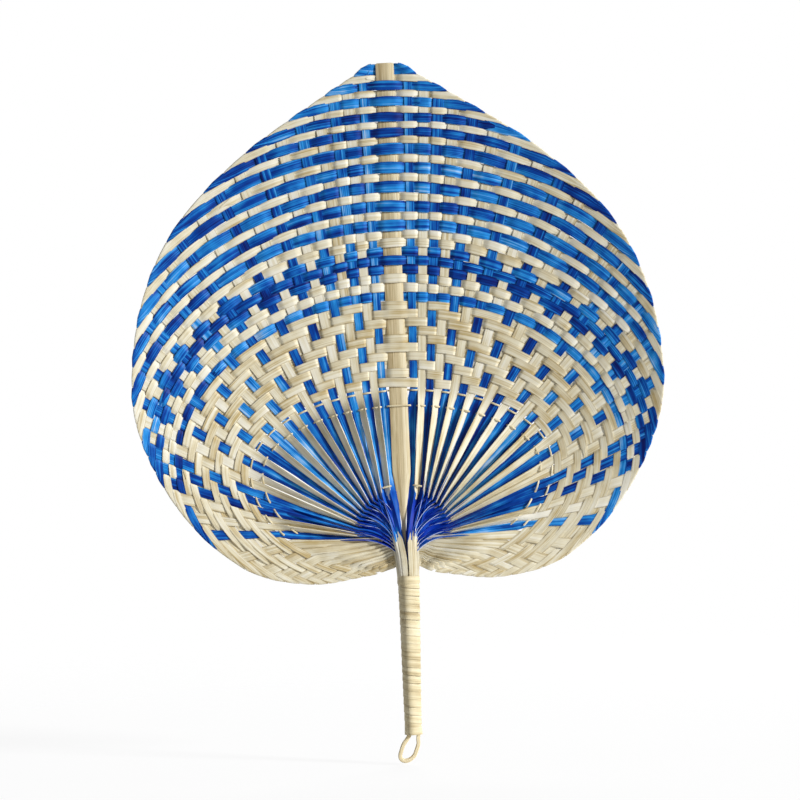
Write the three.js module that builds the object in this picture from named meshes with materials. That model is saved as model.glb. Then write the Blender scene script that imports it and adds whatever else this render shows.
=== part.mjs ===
// Woven hand fan of split bamboo: a heart-shaped blade on a flat spine, a wrapped handle, a hanging loop.
// Millimetres. +Z runs up the fan, its face looks along -Y, and the origin is the middle of the grip.
// Fan coordinates below are x to the right, depth towards the viewer, and z up from the hub,
// the point where all the strips gather above the handle.

import * as THREE from "three";

const HUB_HEIGHT = 73; // hub above the origin

// The woven strips
const STRIP_COUNT = 37; // on each side of the spine
const STRIP_WIDTH = 4.7;
const STRIP_THICKNESS = 0.35;
const CROSSING_GAP = 0.15; // air between two strips where one passes the other
const ROW_GAP = 0.68; // between neighbouring rows
const SPOKE_COVER = 0.7; // share of the spoke pitch that a spoke fills where the weave begins
const PLAIN_ROWS = 27; // rows of plain weave, counted from the top; the rest are twill
const FIRST_TWILL_AT_SPINE = 26; // the spine goes over to the twill one row earlier
const DYED = [1, 3, 5, 7, 9, 11, 13, 15, 17, 19, 22, 23, 24, 27]; // strips dyed blue

// The blade, from the spine to its widest place and from the hub to its tip
const BLADE = { halfWidth: 150.5, height: 266 };

// Its right-hand edge from the top to the handle, as shares of [half width, height]
const EDGE = [
  [0.0465, 1],
  [0.2525, 0.9286],
  [0.5615, 0.8102],
  [0.8106, 0.6692],
  [0.9468, 0.515],
  [1, 0.3459],
  [0.9767, 0.2143],
  [0.8372, 0.0489],
  [0.6113, -0.0752],
  [0.3654, -0.1128],
  [0.1661, -0.1015],
  [0.0399, -0.0902],
];
const FOLD_INSET = 1.8; // from the edge to the middle of a strip where it folds

// Rows are half ellipses about the spine; knots are [row number, share of the blade's height]
const ROW_HEIGHTS = [
  [1, 0.9838],
  [10, 0.835],
  [20, 0.632],
  [27, 0.4989],
  [37, 0.3139],
];
// The last row's middle, half width and lower half, and how each grows from row to row outwards
const LAST_ROW = { centre: 0.1316, halfWidth: 0.5947, drop: 0.2331 };
const ROW_STEP = { centre: 0.00207, halfWidth: 0.02458, drop: 0.01203 };
const WEAVE_END = 37.65; // where the weave stops, on the scale of row numbers

// Spokes: the stretch of each strip from the hub to the edge; knots are [strip number, degrees from the spine]
const SPOKE_ANGLES = [
  [1, 6.4],
  [27, 90.4],
  [37, 145.4],
];
// The strips turn on edge along an ellipse round the hub, between two angles from the spine.
const GATHER = { halfWidth: 26, halfHeight: 19.5, from: 18.4, to: 140 };
const GATHER_WIDTH = 3.4; // a strip's width there
const GATHER_TWIST = 62; // degrees that a strip has turned about its length there
const HALFWAY = 0.4; // place of the middle section between there and the weave
const HALFWAY_TWIST = 25;
const SHORTEST_SPOKE = 4.5; // from the weave's end to the fold

// The spine, a flat slat that ends in a tang inside the handle
const SPINE = { width: 10.4, thickness: 1, corner: 4, pointFrom: 32, pointTo: 4, bareTo: 66 };
const TANG = { width: 2.4, end: -60 };
const SPINE_MARGIN = 0.5; // how far a row stays flat past the spine's side
const FLAT_MARGIN = 0.15; // and past a spoke's side
const ROOMY = 0.3; // a spoke that fills less of the way to the next is passed in one bend

// The handle: two bundles of strip tails, a strip wound round them and a loop below
const HANDLE = { top: -26, end: -118, topRadius: 6.5, endRadius: 5 };
const NECK = { height: -10, halfDepth: 4.5 }; // where the bundles of tails widen above the handle
const TAILS = { top: 17.4, halfDepth: 2.2, inset: 0.7, ribs: 9, groove: 0.94 }; // their upper end and ribs
const TAILS_STEPS = [0, 0.14, 0.25, 0.41, 0.6, 0.74, 0.85, 0.945, 1]; // sections between handle and upper end
const FIT_GAP = 0.3; // between pieces that lie against each other
const WRAP = { width: 3.85, thickness: 0.45, turns: 20, steps: 12, inset: 1.5 };
const LOOP = { width: 6.4, length: 14.1, root: 2.7, shoulder: 5, band: 2.2, depth: 3.6, lean: 20 };

// The thin strands that bind the spokes
const STRAND = { width: 1.1, thickness: 0.4, last: 27, rise: [0.58, 0.8] };
const STRAND_ROWS = [37.95, 39.75]; // on the scale of row numbers
const THROAT_STRAND = { height: 24, from: 7, to: 11.2, front: 1.9, back: -0.95 };

// Helpers

const radians = THREE.MathUtils.degToRad;

function onKnots(knots, place) {
  let i = 1;
  while (i < knots.length - 1 && place > knots[i][0]) i++;
  const [fromPlace, fromValue] = knots[i - 1];
  const [toPlace, toValue] = knots[i];
  return fromValue + ((toValue - fromValue) * (place - fromPlace)) / (toPlace - fromPlace);
}

function flat(x, z) {
  return new THREE.Vector2(x, z);
}

// The last point for which a test holds, on the way from a point inside to a point outside.
function lastInside(from, to, isInside) {
  let low = 0;
  let high = 1;
  for (let i = 0; i < 40; i++) {
    const middle = (low + high) / 2;
    if (isInside(from.clone().lerp(to, middle))) low = middle;
    else high = middle;
  }
  return from.clone().lerp(to, low);
}

// Rows

function rowHeight(row) {
  return BLADE.height * onKnots(ROW_HEIGHTS, row);
}

function rowShape(row) {
  const outwards = STRIP_COUNT - row;
  const centre = BLADE.height * (LAST_ROW.centre + ROW_STEP.centre * outwards);
  return {
    centre,
    halfWidth: BLADE.halfWidth * (LAST_ROW.halfWidth + ROW_STEP.halfWidth * outwards),
    rise: rowHeight(row) - centre,
    drop: BLADE.height * (LAST_ROW.drop + ROW_STEP.drop * outwards),
  };
}

function rowPoint(row, angle) {
  const shape = rowShape(row);
  const height = Math.cos(angle) > 0 ? shape.rise : shape.drop;
  return flat(shape.halfWidth * Math.sin(angle), shape.centre + height * Math.cos(angle));
}

function rowAngle(row, point) {
  const shape = rowShape(row);
  const height = point.y > shape.centre ? shape.rise : shape.drop;
  return Math.atan2(point.x / shape.halfWidth, (point.y - shape.centre) / height);
}

function insideRow(row, point) {
  const shape = rowShape(row);
  const height = point.y > shape.centre ? shape.rise : shape.drop;
  return (point.x / shape.halfWidth) ** 2 + ((point.y - shape.centre) / height) ** 2 < 1;
}

function rowTangent(row, angle) {
  return rowPoint(row, angle + 0.001).sub(rowPoint(row, angle - 0.001)).normalize();
}

function alongRow(row, angle, distance) {
  const speed = rowPoint(row, angle + 0.001).distanceTo(rowPoint(row, angle - 0.001)) / 0.002;
  return rowPoint(row, angle + distance / speed);
}

// The fold of a strip is where its row comes up to the blade's edge.
const edgeKnots = EDGE.map(([x, z]) => flat(x * BLADE.halfWidth, z * BLADE.height));
const edgePoints = new THREE.SplineCurve(edgeKnots).getPoints(220);

function foldAngle(row) {
  let angle = 0;
  let room = Infinity;
  while (room > FOLD_INSET && angle < Math.PI) {
    angle += 0.002;
    const point = rowPoint(row, angle);
    room = Math.min(...edgePoints.map((edge) => edge.distanceTo(point)));
  }
  return angle;
}

// Spokes on the right-hand side, numbered from 1; the left-hand side mirrors them

function gatherPoint(number) {
  const share = (number - 1) / (STRIP_COUNT - 1);
  const angle = radians(GATHER.from + (GATHER.to - GATHER.from) * share);
  return flat(GATHER.halfWidth * Math.sin(angle), GATHER.halfHeight * Math.cos(angle));
}

function spoke(number) {
  const gather = gatherPoint(number);
  const angle = foldAngle(number);
  const fold = rowPoint(number, angle);
  const bearing = radians(onKnots(SPOKE_ANGLES, number));
  const far = flat(Math.sin(bearing), Math.cos(bearing)).multiplyScalar(BLADE.height);
  let start = lastInside(flat(0, 0), far, (point) => insideRow(WEAVE_END, point));
  if (start.distanceTo(fold) < SHORTEST_SPOKE) {
    start = fold.clone().sub(fold.clone().sub(gather).setLength(SHORTEST_SPOKE));
  }
  return { number, gather, start, fold, angle, way: fold.clone().sub(start).normalize() };
}

const spokes = [];
for (let number = 1; number <= STRIP_COUNT; number++) {
  spokes[number] = spoke(number);
}

// Spokes are no wider than the room that the spokes beside them leave.
function besideSpoke(point, other) {
  return other ? Math.abs(point.clone().sub(other.start).cross(other.way)) : Infinity;
}

for (const one of spokes.slice(1)) {
  const before = spokes[one.number - 1];
  const after = spokes[one.number + 1];
  const startRoom = Math.min(besideSpoke(one.start, before), besideSpoke(one.start, after));
  one.startWidth = Math.min(STRIP_WIDTH, SPOKE_COVER * startRoom);
  one.foldWidth = Math.min(STRIP_WIDTH, SPOKE_COVER * besideSpoke(one.fold, before));
}

// The point where a spoke crosses a row; row and spoke of one number meet at the fold.
function crossing(number, row) {
  if (number === 0) return flat(0, rowHeight(row));
  const { start, fold } = spokes[number];
  if (row === number) return fold;
  return lastInside(start, fold, (point) => insideRow(row, point));
}

function spokeWidth(number, point) {
  if (number === 0) return SPINE.width;
  const { start, fold, startWidth, foldWidth } = spokes[number];
  const share = start.distanceTo(point) / start.distanceTo(fold);
  return startWidth + (foldWidth - startWidth) * share;
}

// The weave: whether a row passes in front of a spoke (number 0 is the spine)
function rowInFront(number, row) {
  const plain = number === 0 ? row < FIRST_TWILL_AT_SPINE : row <= PLAIN_ROWS;
  if (plain) return (number + row) % 2 === 1;
  return (row - number) % 4 < 2;
}

// Closed solids from sections

// Each section is a loop of points (x, depth, z); the solid runs through them and is capped at both ends.
// Both faces of a strip are split along the same diagonal, so a thin strip that twists keeps its thickness.
function throughSections(sections) {
  const corners = sections[0].length;
  const positions = sections.flat().flatMap((p) => [p.x, -p.y, p.z + HUB_HEIGHT]);
  const faces = [];
  for (let i = 0; i + 1 < sections.length; i++) {
    for (let j = 0; j < corners; j++) {
      const a = i * corners + j;
      const b = i * corners + ((j + 1) % corners);
      if (j < corners / 2) faces.push(a, b, b + corners, a, b + corners, a + corners);
      else faces.push(a, b, a + corners, b, b + corners, a + corners);
    }
  }
  const last = (sections.length - 1) * corners;
  for (let j = 1; j + 1 < corners; j++) {
    faces.push(0, j + 1, j, last, last + j, last + j + 1);
  }
  const geometry = new THREE.BufferGeometry();
  geometry.setAttribute("position", new THREE.Float32BufferAttribute(positions, 3));
  geometry.setIndex(volume(positions, faces) < 0 ? faces.reverse() : faces);
  geometry.computeVertexNormals();
  return geometry;
}

function volume(positions, faces) {
  const at = (i) => new THREE.Vector3().fromArray(positions, 3 * i);
  let sum = 0;
  for (let i = 0; i < faces.length; i += 3) {
    sum += at(faces[i]).dot(at(faces[i + 1]).cross(at(faces[i + 2])));
  }
  return sum;
}

// A section of a strip: its middle, the half width along one vector and the half thickness along another.
function stripSection(middle, side, face) {
  return [
    middle.clone().sub(side).sub(face),
    middle.clone().add(side).sub(face),
    middle.clone().add(side).add(face),
    middle.clone().sub(side).add(face),
  ];
}

// A section that lies in the plane of the blade, at a level in front of it (or behind it, if negative).
function levelSection(point, way, outer, inner, level, thickness) {
  const middle = point.clone().addScaledVector(way, (outer - inner) / 2);
  const half = (outer + inner) / 2;
  return stripSection(
    new THREE.Vector3(middle.x, level, middle.y),
    new THREE.Vector3(way.x * half, 0, way.y * half),
    new THREE.Vector3(0, thickness / 2, 0),
  );
}

function mirrored(section) {
  return section.map((p) => new THREE.Vector3(-p.x, p.y, p.z));
}

// Sections of the right-hand half, from the spine outwards, joined to their mirror image.
function bothSides(sections) {
  return sections.map(mirrored).reverse().concat(sections);
}

// Woven strips

const PASS = STRIP_THICKNESS + CROSSING_GAP; // level at which a row passes a spoke
const PASS_SPINE = SPINE.thickness / 2 + STRIP_THICKNESS / 2 + CROSSING_GAP;

// Everything that a row needs to know about the spokes that it passes, from the spine to its fold.
function passes(row) {
  const list = [];
  for (let number = 0; number < row; number++) {
    const point = crossing(number, row);
    const angle = number === 0 ? 0 : rowAngle(row, point);
    const way = number === 0 ? flat(0, 1) : spokes[number].way;
    const slant = Math.abs(way.cross(rowTangent(row, angle)));
    const above = row > 1 ? point.distanceTo(crossing(number, row - 1)) : STRIP_WIDTH;
    const below = row < STRIP_COUNT ? point.distanceTo(crossing(number, row + 1)) : above;
    list.push({
      point,
      angle,
      way,
      reach: spokeWidth(number, point) / 2 / slant,
      outer: Math.min(STRIP_WIDTH, above - ROW_GAP) / 2,
      inner: Math.min(STRIP_WIDTH, below - ROW_GAP) / 2,
      front: rowInFront(number, row),
      spine: number === 0,
    });
  }
  return list;
}

// The stations of a row: places with a level, one where a lone spoke has room round it, else two.
function stations(row) {
  const list = passes(row);
  const places = [];
  list.forEach((pass, i) => {
    const before = list[i - 1];
    const after = list[i + 1];
    const next = after ? after.point : spokes[row].fold;
    const sign = pass.front ? 1 : -1;
    const opens = !pass.spine && before.front !== pass.front;
    const closes = !after || after.front !== pass.front;
    const floatOverSpine = pass.spine || (i === 1 && before.front === pass.front);
    const level = floatOverSpine ? PASS_SPINE : PASS;
    const room = pass.spine ? 0 : Math.min(pass.point.distanceTo(before.point), pass.point.distanceTo(next));
    const margin = pass.spine ? SPINE_MARGIN : FLAT_MARGIN;
    const place = (offset) => ({
      ...pass,
      point: offset ? alongRow(row, pass.angle, offset) : pass.point,
      level: sign * level,
    });
    if (opens && closes && pass.reach < ROOMY * room) {
      places.push({ ...place(0), single: true });
      return;
    }
    if (opens) places.push(place(-pass.reach - margin));
    if (closes) places.push(place(pass.reach + margin));
  });
  raiseSingles(places, spokes[row].fold);
  return places;
}

// A row that passes a spoke in one bend stands off far enough to clear the spoke's two sides.
function raiseSingles(places, fold) {
  const gapTo = (place, other) => place.point.distanceTo(other.point);
  const end = { point: fold, level: 0 };
  for (let pass = 0; pass < 30; pass++) {
    places.forEach((place, i) => {
      if (!place.single) return;
      const needed = [places[i - 1], places[i + 1] ?? end].map((other) => {
        const share = place.reach / gapTo(place, other);
        return (PASS + Math.abs(other.level) * share) / (1 - share);
      });
      place.level = Math.sign(place.level) * Math.max(...needed);
    });
  }
}

// The fold at the edge, as one mitred section between the spoke's way and the row's way.
function foldSection(row) {
  const { fold, way, angle, foldWidth } = spokes[row];
  const back = rowTangent(row, angle).negate();
  const across = way.clone().sub(back).normalize();
  const halfTurn = Math.acos(THREE.MathUtils.clamp(way.dot(back), -1, 1)) / 2;
  const room = row < STRIP_COUNT ? fold.distanceTo(crossing(row, row + 1)) : STRIP_WIDTH;
  const half = Math.min(foldWidth, room - ROW_GAP) / 2;
  return levelSection(fold, across, half, half / Math.cos(halfTurn), 0, STRIP_THICKNESS);
}

// A section of the free stretch of a spoke, turned about its length.
function twistedSection(point, way, width, twist) {
  const turn = radians(twist);
  const across = new THREE.Vector3(way.y, 0, -way.x);
  const front = new THREE.Vector3(0, 1, 0);
  const side = across.clone().multiplyScalar(Math.cos(turn)).addScaledVector(front, Math.sin(turn));
  const face = front.multiplyScalar(Math.cos(turn)).addScaledVector(across, -Math.sin(turn));
  return stripSection(
    new THREE.Vector3(point.x, 0, point.y),
    side.multiplyScalar(width / 2),
    face.multiplyScalar(STRIP_THICKNESS / 2),
  );
}

// One row with the two spokes that run into it, a single strip from the hub round to the hub again.
function strip(row) {
  const { gather, start, way, startWidth } = spokes[row];
  const free = start.clone().sub(gather).normalize();
  const sections = stations(row).map(({ point, way: spokeWay, outer, inner, level }) =>
    levelSection(point, spokeWay, outer, inner, level, STRIP_THICKNESS),
  );
  sections.push(foldSection(row));
  sections.push(twistedSection(start, way, startWidth, 0));
  sections.push(twistedSection(gather.clone().lerp(start, HALFWAY), free, startWidth, HALFWAY_TWIST));
  sections.push(twistedSection(gather, free, Math.min(GATHER_WIDTH, startWidth), GATHER_TWIST));
  return throughSections(bothSides(sections));
}

// Spine

function spineHalfWidth(z) {
  const knots = [
    [SPINE.pointTo, TANG.width / 2],
    [SPINE.pointFrom, SPINE.width / 2],
  ];
  return THREE.MathUtils.clamp(onKnots(knots, z), TANG.width / 2, SPINE.width / 2);
}

function spine() {
  const heights = [TANG.end, SPINE.pointTo, SPINE.pointFrom, SPINE.bareTo, BLADE.height - SPINE.corner];
  const sections = heights.map((z) => slatSection(z, spineHalfWidth(z)));
  sections.push(slatSection(BLADE.height, SPINE.width / 2 - SPINE.corner / 2));
  return throughSections(sections);
}

function slatSection(z, half) {
  return levelSection(flat(0, z), flat(1, 0), half, half, 0, SPINE.thickness);
}

// Handle

function handleRadius(z) {
  return onKnots(
    [
      [HANDLE.end, HANDLE.endRadius],
      [HANDLE.top, HANDLE.topRadius],
    ],
    z,
  );
}

// Half width of the bundles of tails: round the gather, drawn in to the neck, then the handle.
function bundleHalfWidth(z) {
  if (z <= HANDLE.top) return coreRadius(z);
  const low = GATHER.halfHeight * Math.cos(radians(GATHER.to));
  const widest = GATHER.halfWidth - TAILS.inset;
  const round = (height) => widest * Math.sqrt(1 - (height / GATHER.halfHeight) ** 2);
  if (z >= low) return round(z);
  return onKnots(
    [
      [HANDLE.top, coreRadius(HANDLE.top)],
      [low, round(low)],
    ],
    z,
  );
}

function coreRadius(z) {
  return handleRadius(z) * Math.cos(Math.PI / WRAP.steps) - WRAP.thickness - FIT_GAP;
}

function bundleHalfDepth(z) {
  if (z <= HANDLE.top) return coreRadius(z);
  return onKnots(
    [
      [HANDLE.top, coreRadius(HANDLE.top)],
      [NECK.height, NECK.halfDepth],
      [GATHER.halfHeight, TAILS.halfDepth],
    ],
    z,
  );
}

// The tails of one side's strips, gathered: half of the handle's core, split along the spine
// and ribbed along the tails.
function tails(side) {
  const heights = TAILS_STEPS.map((share) => HANDLE.top + (TAILS.top - HANDLE.top) * share);
  const sections = [HANDLE.end, ...heights].map((z) => {
    const groove = z === HANDLE.end || z === TAILS.top ? 1 : TAILS.groove;
    const inner = spineHalfWidth(z) + FIT_GAP;
    const outer = bundleHalfWidth(z);
    const depth = bundleHalfDepth(z);
    const section = [];
    for (let i = 0; i <= 2 * TAILS.ribs; i++) {
      const turn = Math.acos(inner / outer) * (i / TAILS.ribs - 1);
      const relief = i % 2 === 0 ? 1 : groove;
      section.push(new THREE.Vector3(side * outer * Math.cos(turn), depth * relief * Math.sin(turn), z));
    }
    return section;
  });
  return throughSections(sections);
}

// The strip wound round the handle; it also prints how near its turns come to each other.
function wrap() {
  const from = HANDLE.top - WRAP.inset - WRAP.width / 2;
  const to = HANDLE.end + WRAP.width / 2;
  const count = WRAP.turns * WRAP.steps;
  const sections = [];
  for (let i = 0; i <= count; i++) {
    const turn = (2 * Math.PI * (i + 0.5)) / WRAP.steps;
    const z = from + ((to - from) * i) / count;
    const outwards = new THREE.Vector3(Math.sin(turn), Math.cos(turn), 0);
    const middle = outwards.clone().multiplyScalar(handleRadius(z) - WRAP.thickness / 2).setZ(z);
    const face = outwards.multiplyScalar(WRAP.thickness / 2);
    sections.push(stripSection(middle, new THREE.Vector3(0, 0, WRAP.width / 2), face));
  }
  console.log("handle wrap, least gap to itself: " + leastGap(sections).toFixed(2) + " mm");
  return throughSections(sections);
}

// Least distance between the lower edge of a turn and the upper edge of the turn below it.
function leastGap(sections) {
  let least = Infinity;
  for (let i = 0; i + WRAP.steps < sections.length; i++) {
    const lower = sections[i][0];
    const upper = sections[i + WRAP.steps][1];
    least = Math.min(least, lower.distanceTo(upper));
  }
  return least;
}

// The hanging loop, a thick strip bent into an eye that leans to the left below the handle.
function loopPath() {
  const bendSteps = 10;
  const slope = Math.tan(radians(LOOP.lean));
  const half = (LOOP.width + LOOP.band) / 2;
  const bendHeight = half - LOOP.length;
  const points = [flat(LOOP.root, 0), flat(half, -LOOP.shoulder)];
  for (let i = 0; i <= bendSteps; i++) {
    const turn = (Math.PI * i) / bendSteps;
    points.push(flat(half * Math.cos(turn), bendHeight - half * Math.sin(turn)));
  }
  points.push(flat(-half, -LOOP.shoulder), flat(-LOOP.root, 0));
  const top = HANDLE.end - FIT_GAP - LOOP.band / 4;
  return points.map((p) => flat(p.x + slope * p.y, p.y + top));
}

function loop() {
  const path = loopPath();
  const sections = path.map((point, i) => {
    const before = path[Math.max(i - 1, 0)];
    const after = path[Math.min(i + 1, path.length - 1)];
    const way = after.clone().sub(before).normalize();
    const across = flat(way.y, -way.x);
    return levelSection(point, across, LOOP.band / 2, LOOP.band / 2, 0, LOOP.depth);
  });
  return throughSections(sections);
}

// Binding strands

// A strand that follows a row line through the free spokes, in front of every second one.
function strand(index) {
  const row = STRAND_ROWS[index];
  const rise = STRAND.rise[index];
  const sections = [];
  const push = (point, way, front) => {
    const level = front ? rise : -rise;
    sections.push(levelSection(point, way, STRAND.width / 2, STRAND.width / 2, level, STRAND.thickness));
  };
  const overSpine = index === 1;
  const spinePoint = flat(SPINE.width / 2 + SPINE_MARGIN, rowHeight(row));
  const spineLevel = (SPINE.thickness + STRAND.thickness) / 2 + CROSSING_GAP;
  sections.push(
    levelSection(
      spinePoint,
      flat(0, 1),
      STRAND.width / 2,
      STRAND.width / 2,
      overSpine ? spineLevel : -spineLevel,
      STRAND.thickness,
    ),
  );
  for (let number = 1; number <= STRAND.last; number++) {
    const { start, gather, startWidth } = spokes[number];
    const point = lastInside(gather, start, (p) => insideRow(row, p));
    const way = start.clone().sub(gather).normalize();
    const angle = rowAngle(row, point);
    const slant = Math.abs(way.cross(rowTangent(row, angle)));
    const reach = startWidth / 2 / slant + FLAT_MARGIN;
    const front = (number + index) % 2 === 1;
    push(alongRow(row, angle, -reach), way, front);
    push(alongRow(row, angle, reach), way, front);
  }
  return throughSections(bothSides(sections));
}

// The short strand near the throat: behind the spine, in front of the two nearest spokes.
function throatStrand() {
  const { height, from, to, front, back } = THROAT_STRAND;
  const section = (x, level) =>
    levelSection(flat(x, height), flat(0, 1), STRAND.width / 2, STRAND.width / 2, level, STRAND.thickness);
  const sections = [section(SPINE.width / 2 + SPINE_MARGIN, back), section(from, front), section(to, front)];
  return throughSections(bothSides(sections));
}

// Materials

function bamboo(colour, roughness) {
  return new THREE.MeshStandardMaterial({ color: colour, roughness, metalness: 0 });
}

const NATURAL = bamboo("#e6d9ae", 0.55);
const BLUE = bamboo("#0f57bd", 0.5);
const SLAT = bamboo("#d9c79a", 0.5);
const PEELED = bamboo("#e9dfb9", 0.6);

// Assembly

const fan = new THREE.Group();
fan.name = "woven_hand_fan";

function add(name, geometry, material) {
  const mesh = new THREE.Mesh(geometry, material);
  mesh.name = name;
  fan.add(mesh);
}

for (let row = 1; row <= STRIP_COUNT; row++) {
  const name = "strip_" + String(row).padStart(2, "0");
  add(name, strip(row), DYED.includes(row) ? BLUE : NATURAL);
}
add("spine", spine(), SLAT);
add("tails_left", tails(-1), NATURAL);
add("tails_right", tails(1), NATURAL);
add("handle_wrap", wrap(), PEELED);
add("hanging_loop", loop(), SLAT);
add("binding_outer", strand(0), PEELED);
add("binding_inner", strand(1), PEELED);
add("binding_throat", throatStrand(), PEELED);

export default fan;
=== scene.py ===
"""Woven hand fan of split bamboo: strips on a flat spine, a wrapped handle, a hanging loop, and the stage."""

import math

import bpy
import numpy as np
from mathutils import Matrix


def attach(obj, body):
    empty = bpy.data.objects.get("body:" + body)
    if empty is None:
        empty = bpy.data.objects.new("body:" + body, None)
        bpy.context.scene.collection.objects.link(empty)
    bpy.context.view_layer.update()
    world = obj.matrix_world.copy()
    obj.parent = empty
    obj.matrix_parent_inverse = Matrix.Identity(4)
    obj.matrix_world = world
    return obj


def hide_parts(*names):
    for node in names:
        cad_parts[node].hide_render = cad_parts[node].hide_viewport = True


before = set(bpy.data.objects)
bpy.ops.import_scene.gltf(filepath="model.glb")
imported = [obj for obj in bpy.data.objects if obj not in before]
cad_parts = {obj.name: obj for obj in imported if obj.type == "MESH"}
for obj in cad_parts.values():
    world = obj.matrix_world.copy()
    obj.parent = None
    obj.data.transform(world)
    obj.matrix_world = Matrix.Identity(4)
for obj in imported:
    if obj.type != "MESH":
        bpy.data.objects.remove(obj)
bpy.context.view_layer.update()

bl_info = {
    "name": "Woven hand fan",
    "version": (1, 0, 0),
    "blender": (4, 5, 0),
    "location": "3D View > Sidebar > Fan",
    "description": "Models a heart-shaped hand fan of woven bamboo strips and lights it on a plain stage",
    "category": "Add Mesh",
}

# Fan coordinates: x to the right, depth towards the viewer, z up from the hub where the strips gather.
# They are millimetres; the mesh gets metres, with the hub this far above the origin.
HUB = 73.0
SEED = 11

STRIPS = 37  # on each side of the spine
PLAIN_ROWS = 27  # rows of plain weave from the top; the rest are twill
FIRST_TWILL_AT_SPINE = 26
DYED = (1, 3, 5, 7, 9, 11, 13, 15, 17, 19, 22, 23, 24, 27)
LAST_DYED_TAIL = 27  # strips up to this one have dye on their tails at the hub

HALF_WIDTH = 150.5
HEIGHT = 266.0
EDGE = np.array(
    [
        [0.0465, 1], [0.2525, 0.9286], [0.5615, 0.8102], [0.8106, 0.6692], [0.9468, 0.515], [1, 0.3459],
        [0.9767, 0.2143], [0.8372, 0.0489], [0.6113, -0.0752], [0.3654, -0.1128], [0.1661, -0.1015],
        [0.0399, -0.0902],
    ]
) * (HALF_WIDTH, HEIGHT)
FOLD_INSET = 1.1  # from the edge to the middle of a strip where it folds
ROW_HEIGHTS = ((1, 0.9838), (10, 0.835), (20, 0.632), (27, 0.4989), (37, 0.3139))
WEAVE_END = 37.65  # on the scale of row numbers
SPOKE_ANGLES = ((1, 6.4), (27, 90.4), (37, 145.4))
SHORTEST_SPOKE = 4.5
GATHER = np.array([26.0, 21.5])  # half width and half height of the oval round the hub where the strips gather,
GATHER_ANGLES = ((1, 11.0), (2, 20.0), (3, 25.0), (27, 104.0), (37, 140.0))  # and where on it, in degrees
LOWEST_GATHER = np.array([9.0, -21.0])  # where the last strip leaves the handle
CREASE_INSET = 0.7  # from the edge to the crease of a fold
FLARE = 8.0  # length over which a spoke spreads to its fold
FOLD_GAP = 0.12  # kept free at either end of a crease
TOP_ROOM = 8.0  # height of the room that the topmost row lies in
WIDEST = 6.4  # of a strip where the rows lie far apart
WIDEST_SPOKE = 6.2
BROADEST = 8.0  # of the strips in the lower lobes
FREE_WIDTH = 4.4  # of a strip near the hub, on its free stretch between there and the weave
FREE_LAP = 1.1  # how many times its room a strip may be wide there
SPREAD = 0.4  # share of that stretch from which on a strip widens to its room,
BESIDE_SPINE = 2  # but the first strips on each side widen from the hub on
STRIPED_LAP = 0.08  # how far two of the striped rows at the top lie over each other,
ROW_LAP = 0.27  # and two of the others,
ROW_TILT = 0.16  # each tilted so that its upper edge stands this far proud, like a tile
DYED_SHARE = 1.15  # how much wider a dyed strip lies than a natural one beside it,
STRIPED_SHARE = 1.45  # and in the striped rows
STRIPED_ROWS = 20
LENS = 0.18  # how far a row of plain weave widens where it passes in front of a spoke
CROSSING_GAP = 0.1  # air between two strips where one passes the other
SPINE_GAP = 0.3  # and between a row and the spine
LAP_LIFT = 0.18  # how far two strips that lie on each other in a row part
FLAT_SHARE = 0.9  # share of a spoke's width over which a row lies level,
FLAT_ROOM = 0.28  # and the most that this is on either side, as a share of the way to the next spoke
SPOKE_WAVE = 0.25  # how far a spoke gives way to a row
TAPER = 9.0  # length over which a strip narrows to its end in a row
LAP_REACH = 7.0  # length over which two strips that lie on each other part
SWAY = ((0.34, 17.0, 1.0), (0.16, 7.0, 2.1))  # height, length and phase of the waves in which a row sways
SWAY_REACH = 25.0  # length from the fold over which it takes up that sway

CUP = 13.0  # how far the blade's edge comes forward at its widest place
LEAN = 1.4  # how far the top of the handle stands to the right of the spine

SPINE = {"thickness": 1.0, "corner": 1.2, "point_from": 32.0, "point_to": 4.0, "tang": 2.4, "end": -60.0}
HANDLE = {"top": -26.0, "end": -118.0, "top_radius": 6.5, "end_radius": 5.0}
THROAT = -18.0  # height at which the tails have become a round bundle
BUNDLE_RADIUS = 6.2
FRONT_TAILS = (2, 3, 4, 5)  # tails on each side that lie flat on the front of the bundle
PAGE = 3  # tails that lie on each other, like the leaves of a page, between those and the side ones
SIDE_TAILS_FROM = 28  # tails from this one on enter the bundle from the side
TILED = 0.5  # how far, in radians, they turn at most to lie on each other like tiles
POINTED = 5.0  # how far the dye has crept further up along the cut edges of a strip than in its middle
SOAKED = 1.45  # dye at the hub, where the tails stood in it; 1 is a dyed strip
EDGE_HIGHLIGHT_DYE = 1.75  # and on the foremost tails, whose cut edges get a painted highlight
STRAND_ROWS = (37.95, 39.75)  # where the binding strands lie, on the scale of row numbers
STRAND_RISE = (0.62, 0.85)  # how far each goes in front of a spoke and behind the next
STRAND_LAST = 27  # the last spoke that they bind
STRAND = {"half_width": 0.5, "half_thickness": 0.22, "spine_level": 0.95, "throat": 24.0}

ACROSS = np.array([0.0, 0.1, 0.5, 0.9, 1.0])  # places across a strip
EDGEWAYS = np.abs(2 * ACROSS - 1)  # 0 in its middle, 1 at its cut edges
CROWN = np.array([-0.025, 0.0, 0.01, 0.0, -0.025])  # and how far each stands proud


def linear(colour):
    """An sRGB hex colour as linear red, green and blue."""
    parts = [int(colour[i : i + 2], 16) / 255 for i in (1, 3, 5)]
    return tuple(part / 12.92 if part <= 0.04045 else ((part + 0.055) / 1.055) ** 2.4 for part in parts)


# ---- Sizes and colours that a user may change


def length_choice(name, description, length):
    """A length in metres that a user may change."""
    return bpy.props.FloatProperty(
        name=name, description=description, default=length, unit="LENGTH", subtype="DISTANCE"
    )


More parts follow.
